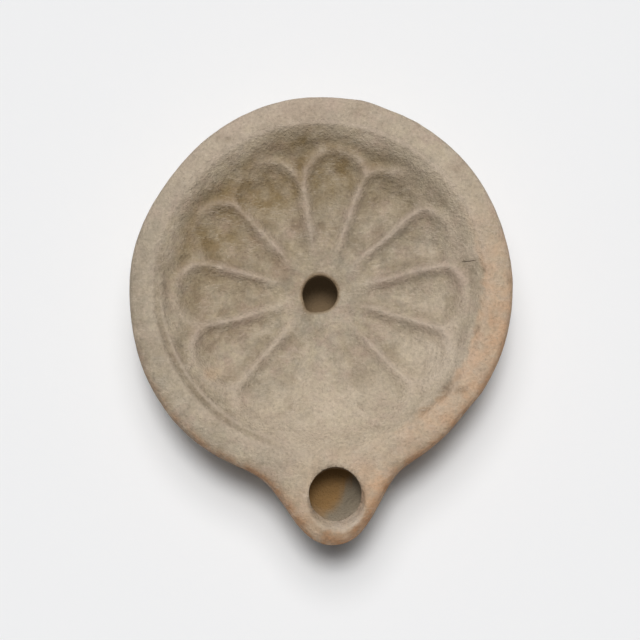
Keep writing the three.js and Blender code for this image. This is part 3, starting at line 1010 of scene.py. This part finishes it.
@dataclass(frozen=True)
class FiredClay:
    """Unglazed fired clay pressed in a mould: a matt, granular skin in buff, stained by soil and handling,
    with painted shade and painted light in some of the stains.

    A pair called an edge is where a noise begins to show and where it shows in full. A bump is a depth in
    millimetres and a strength.
    """

    name: str = "fired_clay"
    dark: str = "#ad9e89"
    light: str = "#cfbfa8"
    grain_dark: str = "#857461"
    grain_light: str = "#ddcdb8"
    inside: str = "#8c6c43"
    inside_glow: float = 0.07  # stands for light thrown about inside the chamber
    ash: str = "#817664"
    cloud_mm: float = 13.0
    mottle_mm: float = 3.6
    grain_mm: float = 0.65
    speck_mm: float = 2.3
    cloud_edge: Pair = (0.75, 1.25)
    scattered_edge: Pair = (0.46, 0.66)
    masked_edge: Pair = (0.38, 0.62)
    grain_depth: Pair = (0.83, 1.17)
    roughness: Pair = (0.84, 0.96)
    shine: float = 0.25
    skin_bump: Pair = (0.5, 0.9)
    lump_bump: Pair = (0.9, 0.6)
    stains: tuple[Stain, ...] = (
        Stain("#9a9282", 3.4, 0.0, 0.55, seed=3.0),
        Stain("#bfa594", 4.2, 0.0, 0.65, seed=8.0),
        Stain("#cdbda0", 2.2, 0.0, 0.6, seed=14.0),
        Stain("#8b7862", 4.6, 0.0, 0.5, seed=21.0),
        Stain("#c4ae9e", 9.0, 0.24, 0.6, Layer.PINK),
        # pale clay: rubbed, and on the dish's front side and its back wall's top partly painted light
        Stain("#d3c2aa", 5.0, 0.325, 0.65, Layer.PALE),
        Stain("#a09582", 4.0, 0.2, 0.5, Layer.GREY),
        # olive soil, partly painted shade on the dish's back side
        Stain("#877048", 4.0, 0.41, 0.82, Layer.SOIL),
        Stain("#d9b28f", 3.2, 0.34, 0.85, Layer.WARM),
        # dark olive in the creases and the border groove: partly dirt, partly painted shade
        Stain("#77664a", 2.4, 0.18, 0.45, Layer.CREASE),
        # pale crests: rubbed ridges, and on the rim's inner edge partly a painted highlight
        Stain("#cdb9a7", 2.5, 0.275, 0.55, Layer.CREST),
        Stain("#5f4f3a", 1.6, 0.51, 0.85, Layer.PIT),
        Stain("#d3c3b1", 3.0, 0.48, 0.8, Layer.CHALK),
        Stain("#a97a52", 2.6, 0.32, 0.8, Layer.RUST),
    )
    crack: Crack = Crack(28.7, 32.2, 5.5, 0.16)
    scratches: tuple[Scratches, ...] = (Scratches(62, 9.0, 1.4, 0.3), Scratches(-28, 7.0, 1.2, 0.25))

    def build(self) -> bpy.types.Material:
        """Build the clay and return its material."""
        # Fired clay without glaze: it looks dry, sandy and soft, with no sheen, even where it is rubbed.
        material = bpy.data.materials.new(self.name)
        material.use_nodes = True
        material.cycles.emission_sampling = "NONE"
        material.node_tree.nodes.clear()
        add = partial(add_node, material.node_tree)
        place = add("TexCoord")["Object"]
        noises = []
        for size, rough in ((self.cloud_mm, 0.6), (self.mottle_mm, 0.65), (self.grain_mm, 0.7)):
            settings = {"Vector": place, "Scale": 1 / (size * MM), "Detail": 5.0, "Roughness": rough}
            noises.append(add("TexNoise", settings)["Fac"])
        clouds, mottle, grain = noises
        skin = Skin(add, place, self._body_colour(add, clouds, mottle))
        for stain in self.stains:
            self._stain(skin, stain)
        self._grain(skin, grain)
        for scratches in self.scratches:
            self._scratch(skin, scratches, mottle)
        self._crack(skin, mottle)
        lining = add("Attribute", attribute_name=Layer.LINING.value)["Fac"]
        ash = add("Attribute", attribute_name=Layer.ASH.value)["Fac"]
        layers = {0: ash, 6: linear(self.inside), 7: linear(self.ash)}
        inside = add("Mix", layers, data_type="RGBA")[2]
        colour = add("Mix", {0: lining, 6: skin.colour, 7: inside}, data_type="RGBA")[2]
        glow = add("Math", {0: lining, 1: self.inside_glow}, operation="MULTIPLY")[0]
        low, high = self.roughness
        roughness = add("MapRange", {0: mottle, 1: 0.3, 2: 0.7, 3: low, 4: high})[0]
        bumps: dict[str, Any] = {}
        for height, (depth, strength) in ((grain, self.skin_bump), (mottle, self.lump_bump)):
            bumps |= {"Height": height, "Distance": depth * MM, "Strength": strength}
            bumps["Normal"] = add("Bump", bumps)[0]
        shader = add(
            "BsdfPrincipled",
            {
                "Base Color": colour,
                "Roughness": roughness,
                "Specular IOR Level": self.shine,
                "Normal": bumps["Normal"],
                "Emission Color": inside,
                "Emission Strength": glow,
            },
        )
        add("OutputMaterial", {"Surface": shader[0]})
        return material

    def _body_colour(self, add: Adder, clouds: Any, mottle: Any) -> Any:
        """Return the clay's own colour, in broad clouds broken by small mottling."""
        low, high = self.cloud_edge
        blend = add("Math", {0: clouds, 1: mottle}, operation="ADD")[0]
        share = add("MapRange", {0: blend, 1: low, 2: high})[0]
        layers = {0: share, 6: linear(self.dark), 7: linear(self.light)}
        return add("Mix", layers, data_type="RGBA")[2]

    def _stain(self, skin: Skin, stain: Stain) -> None:
        """Lay one stain over the skin.

        Args:
            skin: The skin, whose colour is changed.
            stain: What is laid over it.
        """
        add = skin.add
        scattered = stain.mask is None
        low, high = self.scattered_edge if scattered else self.masked_edge
        settings = {"Vector": skin.place, "Scale": 1 / (stain.patch_mm * MM)}
        settings |= {"W": stain.seed, "Detail": 6.0, "Roughness": 0.62} if scattered else {"Detail": 4.0}
        patches = add("TexNoise", settings, noise_dimensions="4D" if scattered else "3D")["Fac"]
        share = add("MapRange", {0: patches, 1: low, 2: high, 3: stain.least, 4: stain.most})[0]
        if stain.mask is not None:
            mask = add("Attribute", attribute_name=stain.mask.value)["Fac"]
            share = add("Math", {0: mask, 1: share}, operation="MULTIPLY")[0]
        skin.colour = add("Mix", {0: share, 6: skin.colour, 7: linear(stain.colour)}, data_type="RGBA")[2]

    def _scratch(self, skin: Skin, scratches: Scratches, where: Any) -> None:
        """Draw one set of fine scratches over the skin.

        Args:
            skin: The skin, whose colour is changed.
            scratches: How they run.
            where: Socket of a noise that says where they show.
        """
        add = skin.add
        turned = {"Vector": skin.place, "Rotation": (0.0, 0.0, math.radians(-scratches.lean))}
        turned["Scale"] = (1.0, scratches.length_mm / scratches.width_mm, 1.0)
        run = add("Mapping", turned)[0]
        settings = {"Vector": run, "Scale": 1 / (scratches.length_mm * MM), "Detail": 3.0}
        waves = add("TexNoise", settings)["Fac"]
        off = add("Math", {0: waves, 1: 0.5}, operation="SUBTRACT")[0]
        off = add("Math", {0: off}, operation="ABSOLUTE")[0]
        line = add("MapRange", {0: off, 1: scratches.fineness, 2: 0.0, 3: 0.0, 4: scratches.share})[0]
        low, high = scratches.edge
        shown = add("MapRange", {0: where, 1: low, 2: high})[0]
        share = add("Math", {0: line, 1: shown}, operation="MULTIPLY")[0]
        skin.colour = add("Mix", {0: share, 6: skin.colour, 7: linear(self.grain_light)}, data_type="RGBA")[2]

    def _crack(self, skin: Skin, wave: Any) -> None:
        """Draw the dark hairline crack over the skin.

        Args:
            skin: The skin, whose colour is changed.
            wave: Socket of a noise that the crack wanders with.
        """
        crack, add = self.crack, skin.add
        x, y, z = add("SeparateXYZ", {0: skin.place})
        line = add("Math", {0: wave, 1: crack.wander * MM, 2: y}, operation="MULTIPLY_ADD")[0]
        middle = (crack.y + crack.wander / 2) * MM
        off = add("Math", {0: line, 1: middle}, operation="SUBTRACT")[0]
        off = add("Math", {0: off}, operation="ABSOLUTE")[0]
        share: Any = 1.0
        for value, low, high in (
            (off, crack.width, 0.0),
            (x, crack.start_x, crack.start_x + 1.0),
            (x, crack.end_x, crack.end_x - 1.0),
            (z, crack.above, crack.above + 1.0),
        ):
            part = add("MapRange", {0: value, 1: low * MM, 2: high * MM})[0]
            share = add("Math", {0: share, 1: part}, operation="MULTIPLY")[0]
        skin.colour = add("Mix", {0: share, 6: skin.colour, 7: linear(crack.colour)}, data_type="RGBA")[2]

    def _grain(self, skin: Skin, grain: Any) -> None:
        """Give the skin the clay's sandy grain and scattered dark specks.

        Args:
            skin: The skin, whose colour is changed.
            grain: Socket of the grain's noise.
        """
        add = skin.add
        low, high = self.grain_depth
        depth = add("MapRange", {0: grain, 1: 0.3, 2: 0.7, 3: low, 4: high})[0]
        colour = add("VectorMath", {0: skin.colour, "Scale": depth}, operation="SCALE")[0]
        settings = {"Vector": skin.place, "Scale": 1 / (self.speck_mm * MM)}
        cells = add("TexVoronoi", settings)["Distance"]
        for value, start, full, most, tint in (
            (grain, 0.4, 0.28, 0.25, self.grain_dark),
            (grain, 0.6, 0.74, 0.3, self.grain_light),
            (cells, 0.15, 0.06, 0.12, self.grain_dark),
        ):
            share = add("MapRange", {0: value, 1: start, 2: full, 3: 0.0, 4: most})[0]
            colour = add("Mix", {0: share, 6: colour, 7: linear(tint)}, data_type="RGBA")[2]
        skin.colour = colour


# ---- studio


@dataclass(frozen=True)
class Light:
    """A far, round, soft light."""

    name: str
    power: float
    spread: float  # how wide it looks from the lamp, in degrees
    tilt: float  # how far it stands from straight overhead, in degrees


@dataclass
class Studio:
    """A plain pale floor under soft light from behind and above the lamp, seen from almost overhead."""

    floor_size: float = 6.0
    floor_colour: str = "#f4f4f4"
    sky: float = 0.08
    sky_colour: str = "#e2e8f5"
    lights: tuple[Light, ...] = (Light("key", 1.25, 13, 9), Light("wide_key", 1.62, 34, 16))
    lights_from: float = 95.0
    camera_elevation: float = 82.5
    camera_distance: float = 0.45
    camera_lens: float = 125.0
    aim: tuple[float, float, float] = (0.0, -0.0070, 0.026)

    def build(self) -> None:
        """Set up the floor, the lights and the camera."""
        self._floor()
        self._lights()
        self._camera()

    def _floor(self) -> bpy.types.Object:
        """Return the floor, a wide matt sheet under the lamp."""
        bm = bmesh.new()
        bmesh.ops.create_grid(bm, x_segments=1, y_segments=1, size=self.floor_size / 2)
        floor = add_object("studio_floor", bm)
        material = bpy.data.materials.new("matt_paper")
        material.use_nodes = True
        shader = material.node_tree.nodes["Principled BSDF"]
        shader.inputs["Base Color"].default_value = linear(self.floor_colour)
        shader.inputs["Roughness"].default_value = 1.0
        shader.inputs["Specular IOR Level"].default_value = 0.0
        floor.data.materials.append(material)
        return floor

    def _lights(self) -> None:
        """Light the scene with a faint even sky and two soft lights from one side."""
        world = bpy.data.worlds.new("studio_sky")
        world.use_nodes = True
        background = world.node_tree.nodes["Background"]
        background.inputs["Color"].default_value = linear(self.sky_colour)
        background.inputs["Strength"].default_value = self.sky
        bpy.context.scene.world = world
        around = math.radians(self.lights_from)
        for light in self.lights:
            sun = bpy.data.lights.new(light.name, "SUN")
            sun.energy = light.power
            sun.angle = math.radians(light.spread)
            lean = math.radians(light.tilt)
            out = math.sin(lean)
            towards = Vector((out * math.cos(around), out * math.sin(around), math.cos(lean)))
            lit = bpy.data.objects.new(light.name, sun)
            lit.rotation_euler = towards.to_track_quat("Z", "Y").to_euler()
            bpy.context.scene.collection.objects.link(lit)
        bpy.context.scene.view_settings.view_transform = "Standard"

    def _camera(self) -> None:
        """Place the camera almost overhead, leaning to the nozzle's side."""
        camera = bpy.data.objects.new("camera", bpy.data.cameras.new("camera"))
        camera.data.lens = self.camera_lens
        camera.data.clip_start = 0.01
        lean = math.radians(self.camera_elevation)
        back = Vector((0.0, -math.cos(lean), math.sin(lean)))
        camera.location = Vector(self.aim) + back * self.camera_distance
        camera.rotation_euler = (math.radians(90.0) - lean, 0.0, 0.0)
        bpy.context.scene.collection.objects.link(camera)
        bpy.context.scene.camera = camera


def main() -> None:
    """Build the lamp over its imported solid, dress it, and set up the studio."""
    logging.basicConfig(level=logging.INFO, format="%(message)s")
    noise.seed_set(NOISE_SEED)
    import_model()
    lamp = LampBody()
    body = lamp.build()
    Tints(lamp).write(body)
    body.data.materials.append(FiredClay().build())
    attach(body, "root")
    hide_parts(lamp.node)
    Studio().build()
    LOG.info("studio ready")


if __name__ == "__main__":
    main()
